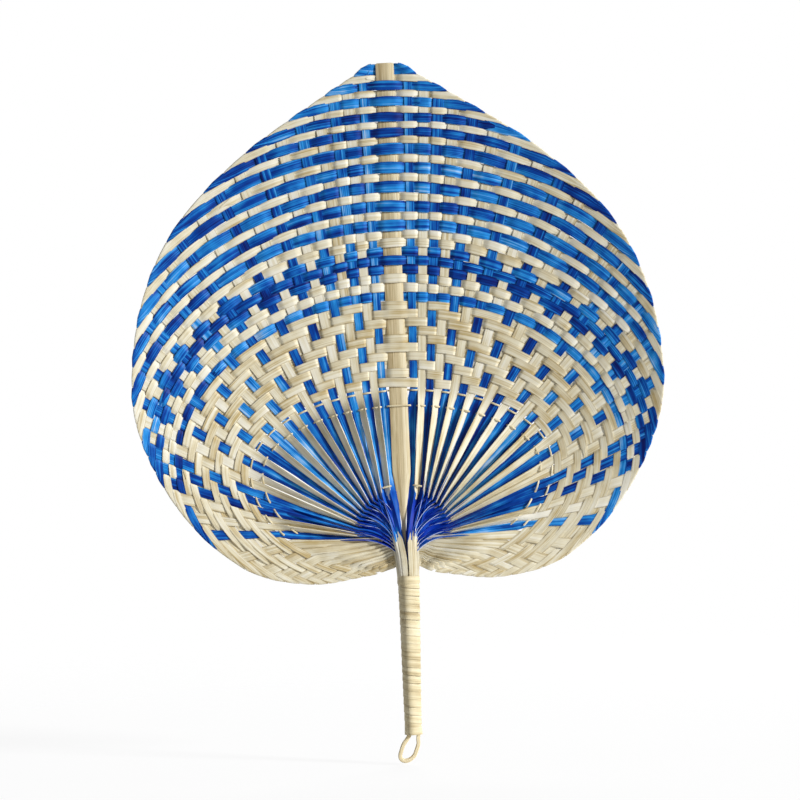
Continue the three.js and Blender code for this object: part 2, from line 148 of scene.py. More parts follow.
class FanSizes(bpy.types.PropertyGroup):
    """Sizes of the fan's pieces, in metres."""

    strip_width: length_choice("Strip width", "Width of a woven strip", 0.0047)
    strip_thickness: length_choice("Strip thickness", "Thickness of a woven strip", 0.00035)
    spoke_cover: bpy.props.FloatProperty(
        name="Spoke cover", description="Share of the room between the spokes beside it that a spoke fills",
        default=0.94, subtype="FACTOR", min=0.1, max=1.0,
    )
    fold_radius: length_choice("Fold radius", "Radius of the bend where a strip folds over at the edge", 0.0005)
    spine_width: length_choice("Spine width", "Width of the slat down the middle", 0.0104)
    wrap_turns: bpy.props.IntProperty(
        name="Wrap turns", description="Turns of the strip that is wound round the handle", default=20, min=2
    )
    wrap_thickness: length_choice("Wrap thickness", "Thickness of the strip wound round the handle", 0.0004)
    loop_band: length_choice("Loop band", "Thickness of the bent strip of the hanging loop", 0.0022)


def colour_choice(name, description, colour):
    """A colour that a user may change, from its sRGB hex value."""
    return bpy.props.FloatVectorProperty(
        name=name, description=description, subtype="COLOR", size=3, min=0.0, max=1.0, default=linear(colour)
    )


class FanColours(bpy.types.PropertyGroup):
    """Colours of the fan's finishes."""

    natural_dark: colour_choice("Natural dark", "Dark fibres of a natural strip", "#c1ab79")
    natural_mid: colour_choice("Natural", "A natural strip", "#e6ddc0")
    natural_light: colour_choice("Natural light", "Pale fibres of a natural strip", "#f5f1e2")
    dyed_deep: colour_choice("Dyed deep", "Where a dyed strip took most dye", "#031460")
    dyed_mid: colour_choice("Dyed", "A dyed strip", "#0446a4")
    dyed_light: colour_choice("Dyed light", "Where a dyed strip took little dye", "#2c98e8")
    dyed_soaked: colour_choice("Dyed soaked", "Where the tails stood in the dye", "#0c2cae")
    # Painted sheen: pale streaks along the fibres of a dyed strip
    dyed_sheened: colour_choice("Dyed rubbed", "Where fibres of a dyed strip are rubbed pale", "#bcd8f4")
    slat_dark: colour_choice("Slat dark", "Dark fibres of the spine and the loop", "#b39d74")
    slat_mid: colour_choice("Slat", "The spine and the loop", "#e0cfa6")
    slat_light: colour_choice("Slat light", "Pale fibres of the spine and the loop", "#f1e6c8")
    peeled_dark: colour_choice("Peeled dark", "Dark fibres of the wrap and the binding", "#ab9872")
    peeled_mid: colour_choice("Peeled", "The wrap and the binding", "#d8caa4")
    peeled_light: colour_choice("Peeled light", "Pale fibres of the wrap and the binding", "#ece2c4")
    floor: colour_choice("Floor", "The floor under the fan", "#f4f4f4")


# ---- The lines of the weave, in the plane of the blade, for the right-hand half


def on_knots(knots, place):
    """The value at a place on straight lines through knots of place and value, drawn on past both ends."""
    places, values = zip(*knots)
    i = min(max(np.searchsorted(places, place), 1), len(knots) - 1)
    share = (place - places[i - 1]) / (places[i] - places[i - 1])
    return values[i - 1] + (values[i] - values[i - 1]) * share


def eased(share):
    """0 to 1 with a soft start and end."""
    share = np.clip(share, 0.0, 1.0)
    return share * share * (3 - 2 * share)


def smooth_line(knots, count):
    """Points on a smooth curve through the knots."""
    ends = np.vstack([knots[:1], knots, knots[-1:]])
    place = np.linspace(0, len(knots) - 1, count + 1)
    i = np.minimum(place.astype(int), len(knots) - 2)
    t = (place - i)[:, None]
    a, b, c, d = ends[i], ends[i + 1], ends[i + 2], ends[i + 3]
    u = (c - a) / 2
    v = (d - b) / 2
    return (2 * b - 2 * c + u + v) * t**3 + (3 * c - 3 * b - 2 * u - v) * t**2 + u * t + b


def row_height(row):
    return HEIGHT * on_knots(ROW_HEIGHTS, row)


def row_shape(row):
    """Middle, half width, upper and lower half height of the two half ellipses that a row follows."""
    outwards = STRIPS - row
    centre = HEIGHT * (0.1316 + 0.00207 * outwards)
    half_width = HALF_WIDTH * (0.5947 + 0.02458 * outwards)
    drop = HEIGHT * (0.2331 + 0.01203 * outwards)
    return centre, half_width, row_height(row) - centre, drop


def row_points(row, angle):
    centre, half_width, rise, drop = row_shape(row)
    angle = np.asarray(angle, float)
    high = np.where(np.cos(angle) > 0, rise, drop)
    return np.stack([half_width * np.sin(angle), centre + high * np.cos(angle)], axis=-1)


def row_angle(row, point):
    centre, half_width, rise, drop = row_shape(row)
    high = rise if point[1] > centre else drop
    return math.atan2(point[0] / half_width, (point[1] - centre) / high)


def inside_row(row, point):
    centre, half_width, rise, drop = row_shape(row)
    high = rise if point[1] > centre else drop
    return (point[0] / half_width) ** 2 + ((point[1] - centre) / high) ** 2 < 1


def last_inside(row, start, end):
    """The last point inside a row's line on the way from a point inside it to one outside."""
    low, high = 0.0, 1.0
    for _ in range(34):
        middle = (low + high) / 2
        if inside_row(row, start + (end - start) * middle):
            low = middle
        else:
            high = middle
    return start + (end - start) * low


def unit(vector):
    vector = np.asarray(vector, float)
    return vector / np.linalg.norm(vector)


def cross(a, b):
    return a[0] * b[1] - a[1] * b[0]


def turned_left(way):
    return np.array([-way[1], way[0]])


def bearing(way):
    return math.atan2(way[0], way[1])


def row_in_front(number, row):
    """Whether a row passes in front of a spoke; number 0 is the spine."""
    if number == 0 and row == 1:
        return False
    plain = row < FIRST_TWILL_AT_SPINE if number == 0 else row <= PLAIN_ROWS
    if plain:
        return (number + row) % 2 == 1
    return (row - number) % 4 < 2


def spine_half(half, z):
    """Half width of the spine: pointed towards the handle, and a tang inside it."""
    tang = SPINE["tang"] / 2
    share = np.clip((z - SPINE["point_to"]) / (SPINE["point_from"] - SPINE["point_to"]), 0, 1)
    return tang + (half - tang) * share


class Spoke:
    """The stretch of a strip from the hub to its fold at the edge."""

    def __init__(self, number, edge):
        self.number = number
        angle = math.radians(on_knots(GATHER_ANGLES, number))
        on_oval = GATHER * (math.sin(angle), math.cos(angle))
        lower = max(0.0, (number - SIDE_TAILS_FROM) / (STRIPS - SIDE_TAILS_FROM))
        self.gather = on_oval * (1 - lower) + LOWEST_GATHER * lower
        angles = np.arange(0.002, math.pi, 0.002)
        points = row_points(number, angles)
        room = np.linalg.norm(points[:, None] - edge[None], axis=2).min(axis=1)
        near = np.nonzero(room < FOLD_INSET)[0]
        self.angle = angles[near[0]] if len(near) else angles[np.argmin(room)]
        self.fold = row_points(number, self.angle)
        out = math.radians(on_knots(SPOKE_ANGLES, number))
        far = np.array([math.sin(out), math.cos(out)]) * HEIGHT
        self.start = last_inside(WEAVE_END, np.zeros(2), far)
        if np.linalg.norm(self.fold - self.start) < SHORTEST_SPOKE:
            self.start = self.fold - unit(self.fold - self.gather) * SHORTEST_SPOKE
        self.way = unit(self.fold - self.start)
        self.free = unit(self.start - self.gather)
        self.dry = np.random.default_rng(SEED + number).uniform(0.5, 3.5)  # length of tail that took no dye
        self.length = np.linalg.norm(self.fold - self.start)

    def gap_from(self, point):
        return abs(cross(point - self.start, self.way))


class Weave:
    """All spokes of one side, and where the rows cross them."""

    def __init__(self, sizes):
        self.width = sizes.strip_width * 1000
        self.thickness = sizes.strip_thickness * 1000
        self.spine_width = sizes.spine_width * 1000
        self.fold_radius = sizes.fold_radius * 1000
        edge = smooth_line(EDGE, 220)
        self.spokes = [None] + [Spoke(number, edge) for number in range(1, STRIPS + 1)]
        for spoke in self.spokes[1:]:
            beside = [other for other in self.spokes[1:] if abs(other.number - spoke.number) == 1]
            before = self.spokes[spoke.number - 1]
            start_room = min(other.gap_from(spoke.start) for other in beside)
            fold_room = before.gap_from(spoke.fold) if before else self.width / sizes.spoke_cover
            widest = WIDEST_SPOKE if spoke.number >= SIDE_TAILS_FROM else self.width
            spoke.start_width = min(widest, sizes.spoke_cover * start_room)
            spoke.fold_width = min(WIDEST_SPOKE, sizes.spoke_cover * fold_room)
        self.corners = self.fold_corners(smooth_line(EDGE, 2000))

    def fold_corners(self, edge):
        """Points along the edge that part each strip's fold from the next, from the top to the handle."""
        run = np.concatenate([[0], np.cumsum(np.linalg.norm(np.diff(edge, axis=0), axis=1))])
        folds = [run[np.argmin(np.linalg.norm(edge - spoke.fold, axis=1))] for spoke in self.spokes[1:]]
        places = [0.0] + [(a + b) / 2 for a, b in zip(folds, folds[1:])]
        places.append(min(run[-1], 1.5 * folds[-1] - 0.5 * folds[-2]))
        corners = []
        for place in places:
            i = min(np.searchsorted(run, place), len(edge) - 2)
            way = unit(edge[i + 1] - edge[i])
            corners.append(edge[i] + np.array([way[1], -way[0]]) * CREASE_INSET)
        corners[0] = np.array([7.5, HEIGHT - 0.5])  # the topmost fold begins beside the spine
        return corners

    def crossing(self, number, row):
        if number == 0:
            return np.array([0.0, row_height(row)])
        spoke = self.spokes[number]
        if row == number:
            return spoke.fold
        return last_inside(row, spoke.start, spoke.fold)

    def spoke_width(self, number, point):
        if number == 0:
            return self.spine_width
        spoke = self.spokes[number]
        share = np.linalg.norm(point - spoke.start) / spoke.length
        return spoke.start_width + (spoke.fold_width - spoke.start_width) * share

    def free_cell(self, spoke, share):
        """Room on the spine's side and on the other side of a spoke at a share of its free stretch.

        Towards the hub the natural strips lie in front and take more of the room than the dyed ones.
        """
        here = spoke.gather + (spoke.start - spoke.gather) * share
        left = turned_left(spoke.free)

        def weight(number):
            return 1.5 if number in DYED else 1.0 + 0.9 * (1 - share)

        def room(number):
            other = self.spokes[number]
            there = other.gather + (other.start - other.gather) * share
            own = weight(spoke.number)
            return abs(np.dot(there - here, left)) * own / (own + weight(number))

        if spoke.number == 1:
            spine_side = here[0] - spine_half(self.spine_width / 2, here[1]) + 0.3
        else:
            spine_side = room(spoke.number - 1)
        return spine_side, room(spoke.number + 1) if spoke.number < STRIPS else spine_side


class Row:
    """A row's line from the spine to its fold, and all that it needs to know about the spokes it passes."""

    def __init__(self, weave, row):
        spoke = weave.spokes[row]
        angles = np.linspace(0, spoke.angle, 500)
        self.points = row_points(row, angles)
        steps = np.linalg.norm(np.diff(self.points, axis=0), axis=1)
        self.lengths = np.concatenate([[0], np.cumsum(steps)])
        self.length = self.lengths[-1]
        self.number = row
        self.passes = []
        for number in range(row):
            point = weave.crossing(number, row)
            angle = 0 if number == 0 else row_angle(row, point)
            way = np.array([0.0, 1.0]) if number == 0 else weave.spokes[number].way
            tangent = unit(row_points(row, angle + 0.001) - row_points(row, angle - 0.001))
            slant = abs(cross(way, tangent))
            above = np.linalg.norm(point - weave.crossing(number, row - 1)) if row > 1 else TOP_ROOM
            below = np.linalg.norm(point - weave.crossing(number, row + 1)) if row < STRIPS else above
            in_front = row_in_front(number, row)
            lap = STRIPED_LAP if row <= STRIPED_ROWS else ROW_LAP
            lens = 0.0 if row > PLAIN_ROWS else LENS if in_front else -LENS
            outer = min(WIDEST / 2, above * self.share(-1) + lap / 2) + lens
            inner = min(WIDEST / 2, below * self.share(1) + lap / 2) + lens
            self.passes.append(
                {
                    "at": np.interp(angle, angles, self.lengths),
                    "bearing": bearing(way),
                    "reach": weave.spoke_width(number, point) / 2 / slant,
                    "outer": above / 2 if row == 1 else outer,
                    "inner": inner,
                    "front": in_front,
                    "spine": number == 0,
                }
            )
        crease = weave.corners[row - 1] - weave.corners[row]
        self.upper = weave.corners[row - 1] - unit(crease) * FOLD_GAP
        self.lower = weave.corners[row] + unit(crease) * FOLD_GAP
        self.outwards = np.array([crease[1], -crease[0]]) / np.linalg.norm(crease)
        self.bow = 1.1 if row == 1 else 0.55 if row in DYED else 0.2  # how far the crease bulges
        self.knots = self.both_sides("at", -1)
        self.bearings = self.both_sides("bearing", -1)
        self.outer = self.both_sides("outer", 1)
        self.inner = self.both_sides("inner", 1)

    def both_sides(self, key, sign):
        """What the passes say under a key, from the left fold to the right one."""
        values = [passed[key] for passed in self.passes]
        return np.array([sign * value for value in values[:0:-1]] + values)

    def share(self, step):
        """Share of the way to the next row that this row fills."""
        dyed = STRIPED_SHARE if max(self.number, self.number + step) <= STRIPED_ROWS else DYED_SHARE
        own, other = (dyed if row in DYED else 1.0 for row in (self.number, self.number + step))
        return own / (own + other)

    def at(self, place):
        x = math.copysign(np.interp(abs(place), self.lengths, self.points[:, 0]), place)
        return np.array([x, np.interp(abs(place), self.lengths, self.points[:, 1])])


# ---- Strips as lists of cross lines


class Line:
    """A cross line of a strip: its middle, the way across, its reach on either side, its face and its dye.

    Its middle may bow out, and its plus side may stand proud by a tilt, in millimetres.
    """

    def __init__(self, middle, across, plus, minus, face, dye, bow=0.0, tilt=0.0):
        self.middle = np.asarray(middle, float)
        self.across = np.asarray(across, float)
        self.plus = plus
        self.minus = minus
        self.face = np.asarray(face, float)
        self.dye = dye
        self.bow = bow * np.ones(3)
        self.tilt = tilt


FRONT = np.array([0.0, 1.0, 0.0])


def in_space(flat, depth=0.0):
    """A point or a way in the plane of the blade, set at a depth."""
    return np.array([flat[0], depth, flat[1]])


def line_between(plus, minus, depth, face, dye, bow=0.0, tilt=0.0):
    """A cross line in the plane of the blade from its two ends."""
    half = np.linalg.norm(plus - minus) / 2
    across = in_space((plus - minus) / 2 / half)
    return Line(in_space((plus + minus) / 2, depth), across, half, half, face, dye, bow, tilt)


def twisted_line(point, out, half, twist, depth, dye):
    """A cross line of a strip that runs outwards and is turned about its length."""
    left = in_space(turned_left(out))
    across = left * math.cos(twist) + FRONT * math.sin(twist)
    face = FRONT * math.cos(twist) - left * math.sin(twist)
    return Line(in_space(point, depth), across, half, half, face, dye)


def tail_dye(spoke, inwards):
    """Dye across a strip at a length inwards of the gathering round the hub."""
    foremost = number_on_page(spoke.number) == 0
    # On the foremost tails the dye rises to where the cut-edge material paints a pale highlight
    soaked = SOAKED + (EDGE_HIGHLIGHT_DYE - SOAKED) * eased((inwards - 2) / 4) * foremost
    if spoke.number in DYED:
        return np.full(len(ACROSS), 1 + (soaked - 1) * eased((inwards + 12) / 14))
    if spoke.number > LAST_DYED_TAIL:
        return np.zeros(len(ACROSS))
    return soaked * eased((inwards - spoke.dry + POINTED * EDGEWAYS) / 3)


def strip_tone(number, side):
    """How light a strip is; those of the lower lobes are the darkest."""
    least, most = (0.08, 0.6) if number >= SIDE_TAILS_FROM else (0.3, 1.0)
    return np.random.default_rng(SEED + 2 * number + (side > 0)).uniform(least, most)


def number_on_page(number):
    """Which leaf of its page a tail is, from 0 for the foremost."""
    return (number - FRONT_TAILS[-1] - 1) % PAGE


def free_lines(weave, spoke, chance):
    """From the gathering round the hub out to where the weave begins, a little bowed and turned by chance."""
    lines = []
    bow = chance.uniform(-0.4, 0.4)
    turn = chance.uniform(-0.15, 0.15)
    for share in np.linspace(-0.012, 1, 17)[:-1]:
        hump = math.sin(math.pi * max(0.0, share))
        line = free_line(weave, spoke, share, bow * hump, turn * hump)
        line.dye = tail_dye(spoke, -np.linalg.norm(spoke.start - spoke.gather) * share)
        lines.append(line)
    return lines


def free_line(weave, spoke, share, bow=0.0, more_turn=0.0):
    """A strip on its free stretch turns about its length as far as it must to fit its room."""
    spine_side, other_side = weave.free_cell(spoke, share)
    out = unit(spoke.free * (1 - share) + spoke.way * share)
    point = spoke.gather + (spoke.start - spoke.gather) * share
    point = point + turned_left(out) * ((spine_side - other_side) / 2 * (1 - eased(share * 4 - 3)) + bow)
    room = spine_side + other_side
    lower = spoke.number >= SIDE_TAILS_FROM
    width = max(FREE_WIDTH, min(room * FREE_LAP, BROADEST if lower else WIDEST))
    if share < SPREAD:
        widened = eased(share / SPREAD) if spoke.number <= BESIDE_SPINE else 0.0
        width = FREE_WIDTH + (width - FREE_WIDTH) * widened
    # Towards the weave it takes up its width there and turns flat, in the lower lobes sooner than elsewhere
    width = width + (spoke.start_width - width) * eased(share * 4 - 3 if lower else share * 8 - 7)
    flat = eased(share * 2.5 - 1.5 if lower else share * 5 - 4)
    cover = 1.3 if spoke.number in DYED else 1.15 if lower else 0.93
    turn = math.acos(min(1.0, cover * room / width)) * (1 - flat)
    if lower:
        turn = min(turn, TILED)
    elif spoke.number in DYED:
        turn = -turn
    turn = turn + more_turn
    depth = 0.9 * math.sin(math.pi * min(1.0, 1.15 * (1 - share))) * (-1 if spoke.number in DYED else 1)
    return twisted_line(point, out, width / 2, turn, depth, 0.0)


def spoke_lines(weave, spoke, row, dyed):
    """From where the weave begins out to the fold, giving way a little to every row."""
    lines = []
    count = max(3, int(spoke.length / 2.6))
    crossings = []
    for number in range(spoke.number + 1, STRIPS + 1):
        place = np.linalg.norm(weave.crossing(spoke.number, number) - spoke.start)
        crossings.append((place, -SPOKE_WAVE if row_in_front(spoke.number, number) else SPOKE_WAVE))
    crossings = sorted(crossings) or [(0.0, 0.0)]
    places, waves = zip(*crossings)
    flare = min(FLARE, 0.6 * spoke.length)
    for place in np.linspace(0, spoke.length, count + 1)[:-1]:
        near = np.clip(1 - (spoke.length - place) / flare, 0, 1)
        wave = np.interp(place, places, waves) * eased(place / 5)
        depth = wave * (1 - near) - weave.fold_radius * near
        width = spoke.start_width + (spoke.fold_width - spoke.start_width) * place / spoke.length
        across = turned_left(spoke.way) * width / 2
        point = spoke.start + spoke.way * place
        plus = (point + across) * (1 - near) + row.upper * near
        minus = (point - across) * (1 - near) + row.lower * near
        bow = in_space(row.outwards) * row.bow * near**2
        lines.append(line_between(plus, minus, depth, FRONT * (1 - near), float(dyed), bow))
    return lines


def fold_lines(weave, row, dyed):
    """Half a turn round the crease, from the back of the blade to its front."""
    lines = []
    for turn in np.radians([-90, -50, -18, 18, 50, 90]):
        out = row.outwards * weave.fold_radius * math.cos(turn)
        depth = weave.fold_radius * math.sin(turn)
        bulge = in_space(row.outwards) * 5 * math.cos(turn)
        bow = in_space(row.outwards) * row.bow
        lines.append(line_between(row.upper + out, row.lower + out, depth, bulge, float(dyed), bow))
    return lines


def row_lines(weave, row, tail, other_tail, on_top, sway, dyed):
    """Along the row from the fold past the spine to the strip's end, over and under the spokes."""
    level_spoke = weave.thickness + CROSSING_GAP
    level_spine = (SPINE["thickness"] + weave.thickness) / 2 + SPINE_GAP
    marks = [(row.length, weave.fold_radius)]
    both = [(p["at"], p) for p in row.passes[::-1]] + [(-p["at"], p) for p in row.passes[1:]]
    rooms = [a - b for (a, _), (b, _) in zip([(row.length, None)] + both, both + [(-row.length, None)])]
    for i, (at, passed) in enumerate(both):
        level = level_spine if passed["spine"] else level_spoke
        level = level if passed["front"] else -level
        reach = min(FLAT_SHARE * passed["reach"], FLAT_ROOM * min(rooms[i : i + 2]))
        marks.append((min(at + reach, marks[-1][0] - 0.3), level))
        marks.append((at - reach, level))
        if at - reach < -tail:
            break

    def ends(place, end):
        turn = np.interp(place, row.knots, row.bearings)
        way = np.array([math.sin(turn), math.cos(turn)])
        point = row.at(place) + way * sway(place) * eased((row.length - abs(place)) / SWAY_REACH)
        outer = np.interp(place, row.knots, row.outer) * end
        inner = np.interp(place, row.knots, row.inner) * end**2
        return point + way * outer, point - way * inner

    lines = []
    for i, ((high, from_level), (low, to_level)) in enumerate(zip(marks, marks[1:])):
        steps = 5 if from_level != to_level else max(1, round((high - low) / 3))
        for share in np.arange(1, steps + 1) / steps:
            place = high + (low - high) * share
            if place < -tail:
                break
            level = from_level + (to_level - from_level) * eased(share)
            lap = 1 - eased((place - other_tail - 1) / LAP_REACH)
            level += LAP_LIFT * lap * (np.sign(level) * min(1.0, abs(level) / level_spoke) + on_top)
            end = min(1.0, 0.1 + (place + tail) / TAPER)
            plus, minus = ends(low if i == 0 else place, end)
            bow = 0.0
            if i == 0:
                plus = row.upper + (plus - row.upper) * share
                minus = row.lower + (minus - row.lower) * share
                bow = in_space(row.outwards) * row.bow * (1 - share) ** 2
            tilt = ROW_TILT * (share if i == 0 else end)
            lines.append(line_between(plus, minus, level, FRONT * end, float(dyed), bow, tilt))
    return lines


def tail_course(spoke, first, chance):
    """Where a tail goes: its curve, the points below it, and half its width, depth and turn at the end."""
    number = spoke.number
    start = first.middle[[0, 2]]
    if number >= SIDE_TAILS_FROM:
        share = (number - SIDE_TAILS_FROM) / (STRIPS - SIDE_TAILS_FROM)
        end = np.array([3.0, -9.0 - 13.0 * share])
        after = start - spoke.free * 0.4 * np.linalg.norm(start - end)
        return [start, after, end + np.array([7.0, 3.5]), end], [], 2.0, 0.0, TILED
    if number == 1:
        end = np.array([0.9, THROAT])
        curve = [start, start + (end - start) * 0.3, end + np.array([0.4, 14.0]), end]
        return curve, [(0.8, -24.0, 2.0)], 1.0, 2.2, math.radians(-35)
    if number in FRONT_TAILS:
        x = 1.7 + 1.3 * (number - FRONT_TAILS[0]) + chance.uniform(-0.2, 0.2)
        end = np.array([x, THROAT])
        after = start + (end - start) * 0.25 + np.array([-0.4, 0.0])
        curve = [start, after, end + np.array([0.5, 16.0]), end]
        depth = on_bundle(x)
        return curve, into_wrap(x, depth), chance.uniform(1.2, 1.7), depth, 0.1
    # Between these the tails stand like the pages of an open book, a few leaves to a page, over into the throat
    page = (number - FRONT_TAILS[-1] - 1) // PAGE
    leaf = number_on_page(number)
    end = np.array([5.4, 0.5 - 1.9 * page])
    chord = end - start
    rise = np.array([chord[1], -chord[0]]) * 0.13
    curve = [start, start + chord * 0.35 + rise, start + chord * 0.72 + rise, end]
    if leaf == PAGE - 1:
        # The last leaf goes round to the back of the bundle
        x = 0.7 + 0.6 * page
        depth = -on_bundle(x)
        below = [(0.6 * x + 2.2, end[1] - 6, 0.6 * depth), (x, -21.0, depth)]
        return curve, below + into_wrap(x, depth), 1.3, 0.2, 0.1
    depth = (2.5, 1.0)[leaf]
    below = [(4.6, end[1] - 4, depth), (4.2, -22.0, 0.94 * depth), (4.0, -28.0, 0.84 * depth)]
    return curve, below, (1.5, 1.1)[leaf], depth, math.radians(-52)


def on_bundle(x):
    """Depth, in front of the handle's axis, of a tail that lies on the bundle at a place across it."""
    return math.sqrt(BUNDLE_RADIUS**2 - x * x) + 0.1


def into_wrap(x, depth):
    """The lowest points of a tail that goes under the wrap at a place across the bundle."""
    return [(0.92 * x, -24.0, 0.92 * depth), (0.88 * x, -29.0, 0.82 * depth), (0.8 * x, -35.0, 0.8 * depth)]


def tail_lines(weave, spoke, chance):
    """From the gathering round the hub over and down between the others into the handle."""
    first = free_line(weave, spoke, 0)
    twist_from = math.asin(np.clip(first.across[1], -1, 1))
    curve, below, half, depth_end, twist_to = tail_course(spoke, first, chance)
    boundary = (-1.0 if spoke.number in FRONT_TAILS else -15.0) + chance.uniform(-2.5, 2.5) - POINTED * EDGEWAYS
    run = 0.0
    previous = curve[0]
    lines = []
    for t in np.linspace(0, 1, 19):
        weights = (1 - t) ** 3, 3 * (1 - t) ** 2 * t, 3 * (1 - t) * t * t, t**3
        point = sum(weight * knot for weight, knot in zip(weights, curve))
        slopes = (1 - t) ** 2, 2 * (1 - t) * t, t * t
        way = sum(slope * (b - a) for slope, a, b in zip(slopes, curve, curve[1:]))
        ease = eased(t)
        run += np.linalg.norm(point - previous)
        previous = point
        dye = tail_dye(spoke, run) * eased((point[1] - boundary) / 5 + 0.5)
        twist = twist_from + (twist_to - twist_from) * ease
        narrowing = eased(t * 1.7) if spoke.number <= FRONT_TAILS[-1] else ease  # sooner on the front ones
        width = first.plus * (1 - narrowing) + half * narrowing
        lines.append(twisted_line(point, -unit(way), width, twist, depth_end * ease, dye))
    for x, z, depth in below:
        pull = 1 - 0.2 * eased((THROAT - z) / 14)
        dye = tail_dye(spoke, run) * eased((z - boundary) / 5 + 0.5)
        lines.append(twisted_line(np.array([x, z]), np.array([0.0, 1.0]), half * pull, twist_to, depth, dye))
    return lines


# ---- Meshes


def to_metres(points):
    """Fan coordinates as metres, on the cupped blade and the leaning handle."""
    x, depth, z = np.moveaxis(np.asarray(points, float), -1, 0)
    # The cup grows towards the edges and runs out below; the lean is most at the handle's top, and only there
    cup = CUP * np.abs(x / HALF_WIDTH) ** 3 * eased((z + 60) / 120)
    lean = LEAN * eased(-z / 22) * (1 - 0.6 * eased((-z - 30) / 90)) * eased((20 - np.abs(x)) / 12)
    return np.stack([x + lean, -depth - cup, z + HUB], axis=-1) * 0.001


def deselect():
    if bpy.context.object and bpy.context.object.mode != "OBJECT":
        bpy.ops.object.mode_set(mode="OBJECT")
    bpy.ops.object.select_all(action="DESELECT")


def select_only(*pieces):
    """Selects these pieces alone and makes the first one active."""
    deselect()
    for piece in pieces:
        piece.select_set(True)
    bpy.context.view_layer.objects.active = pieces[0]


def laid_grid(name, points, along, across, tone=0.5, dye=0.0, rim=0.0):
    """A flat grid laid on rows of points; its UV map gives millimetres along and across it.

    The tone, one for all or one for each column, tells strips apart, and on the spine paints shade on the side
    left of its ridge. The dye is one for each point, and the rim, one for each column, is 1 along the cut
    edges, where the material paints shade.
    """
    rows, columns = points.shape[:2]
    deselect()
    bpy.ops.mesh.primitive_grid_add(x_subdivisions=columns - 1, y_subdivisions=rows - 1, size=1)
    piece = bpy.context.object
    piece.name = name
    mesh = piece.data
    mesh.name = name
    mesh.vertices.foreach_set("co", to_metres(points).ravel())
    corners = np.empty(len(mesh.loops), int)
    mesh.loops.foreach_get("vertex_index", corners)
    places = np.stack([np.broadcast_to(along[:, None], (rows, columns)), across], axis=-1).reshape(-1, 2)
    mesh.uv_layers[0].name = "strip"
    mesh.uv_layers[0].data.foreach_set("uv", places[corners].astype(np.float32).ravel())
    for attribute, values in (("tone", tone), ("dye", dye), ("rim", rim)):
        made = mesh.attributes.new(attribute, "FLOAT", "POINT")
        made.data.foreach_set("value", np.broadcast_to(values, (rows, columns)).astype(np.float32).ravel())
    mesh.update()
    return piece


def strip_sheet(name, lines, side=1, tone=0.5):
    """A strip of no thickness, laid on its cross lines; side -1 mirrors it to the left."""
    middle = np.array([line.middle for line in lines])
    across = np.array([line.across for line in lines])
    face = np.array([line.face for line in lines])
    minus = np.array([line.minus for line in lines])
    width = minus + np.array([line.plus for line in lines])
    offset = ACROSS[None, :] * width[:, None] - minus[:, None]
    bow = np.array([line.bow for line in lines])
    points = middle[:, None] + across[:, None] * offset[..., None] + face[:, None] * CROWN[None, :, None]
    points += bow[:, None] * (1 - EDGEWAYS**2)[None, :, None]
    points[..., 1] += np.array([line.tilt for line in lines])[:, None] * (2 * ACROSS - 1)
    points[..., 0] *= side
    steps = np.linalg.norm(np.diff(middle, axis=0), axis=1)
    along = np.concatenate([[0], np.cumsum(steps)])
    dye = np.array([np.broadcast_to(line.dye, len(ACROSS)) for line in lines])
    return laid_grid(name, points, along, offset, tone, dye, EDGEWAYS == 1)


def rolled(name, rings, tone=0.5, across=None):
    """A closed body through rings of points: a grid rolled up, its seam merged and its ends filled."""
    rings = np.asarray(rings, float)
    closed = np.concatenate([rings, rings[:, :1]], axis=1)
    steps = np.linalg.norm(np.diff(rings.mean(axis=1), axis=0), axis=1)
    along = np.concatenate([[0], np.cumsum(steps)])
    if across is None:
        round_steps = np.linalg.norm(np.diff(closed, axis=1), axis=2)
        across = np.concatenate([np.zeros((len(rings), 1)), np.cumsum(round_steps, axis=1)], axis=1)
    else:
        across = np.concatenate([across, across[:, :1]], axis=1)
    if np.ndim(tone):
        tone = np.append(tone, tone[0])
    piece = laid_grid(name, closed, along, across, tone)
    bpy.ops.object.mode_set(mode="EDIT")
    bpy.ops.mesh.select_all(action="SELECT")
    bpy.ops.mesh.remove_doubles(threshold=1e-6)
    bpy.ops.mesh.select_all(action="SELECT")
    bpy.ops.mesh.fill_holes(sides=0)
    bpy.ops.mesh.select_all(action="SELECT")
    bpy.ops.mesh.normals_make_consistent(inside=False)
    bpy.ops.object.mode_set(mode="OBJECT")
    return piece


def joined(name, parts):
    """Parts as one piece with one mesh."""
    select_only(*parts)
    bpy.ops.object.join()
    piece = bpy.context.object
    piece.name = name
    piece.data.name = name
    return piece


def dress(piece, *materials):
    for material in materials:
        piece.data.materials.append(material)


def thickened(piece, thickness):
    """Gives a sheet its thickness; its cut edges take the second material."""
    select_only(piece)
    solid = piece.modifiers.new("Thickness", "SOLIDIFY")
    solid.thickness = thickness
    solid.offset = 0
    solid.use_rim = True
    solid.material_offset_rim = 1
    bpy.ops.object.modifier_apply(modifier=solid.name)


def finished(piece, nodes, smooth=40):
    """Smooths a piece where it bends less than an angle, and tells the frame what it is."""
    select_only(piece)
    bpy.ops.object.shade_smooth_by_angle(angle=math.radians(smooth))
    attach(piece, "root")
    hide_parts(*nodes)


# ---- Materials


def node(tree, kind, inputs=None, stops=None, **settings):
    """Adds a node with its settings; an input is a value or the output that it is linked to."""
    made = tree.nodes.new("ShaderNode" + kind)
    for name, value in settings.items():
        setattr(made, name, value)
    for i, (place, colour) in enumerate(stops or ()):
        stop = made.color_ramp.elements[i] if i < 2 else made.color_ramp.elements.new(place)
        stop.position = place
        stop.color = (*colour, 1)
    for socket, value in (inputs or {}).items():
        if isinstance(value, bpy.types.NodeSocket):
            tree.links.new(value, made.inputs[socket])
        else:
            made.inputs[socket].default_value = value
    return made


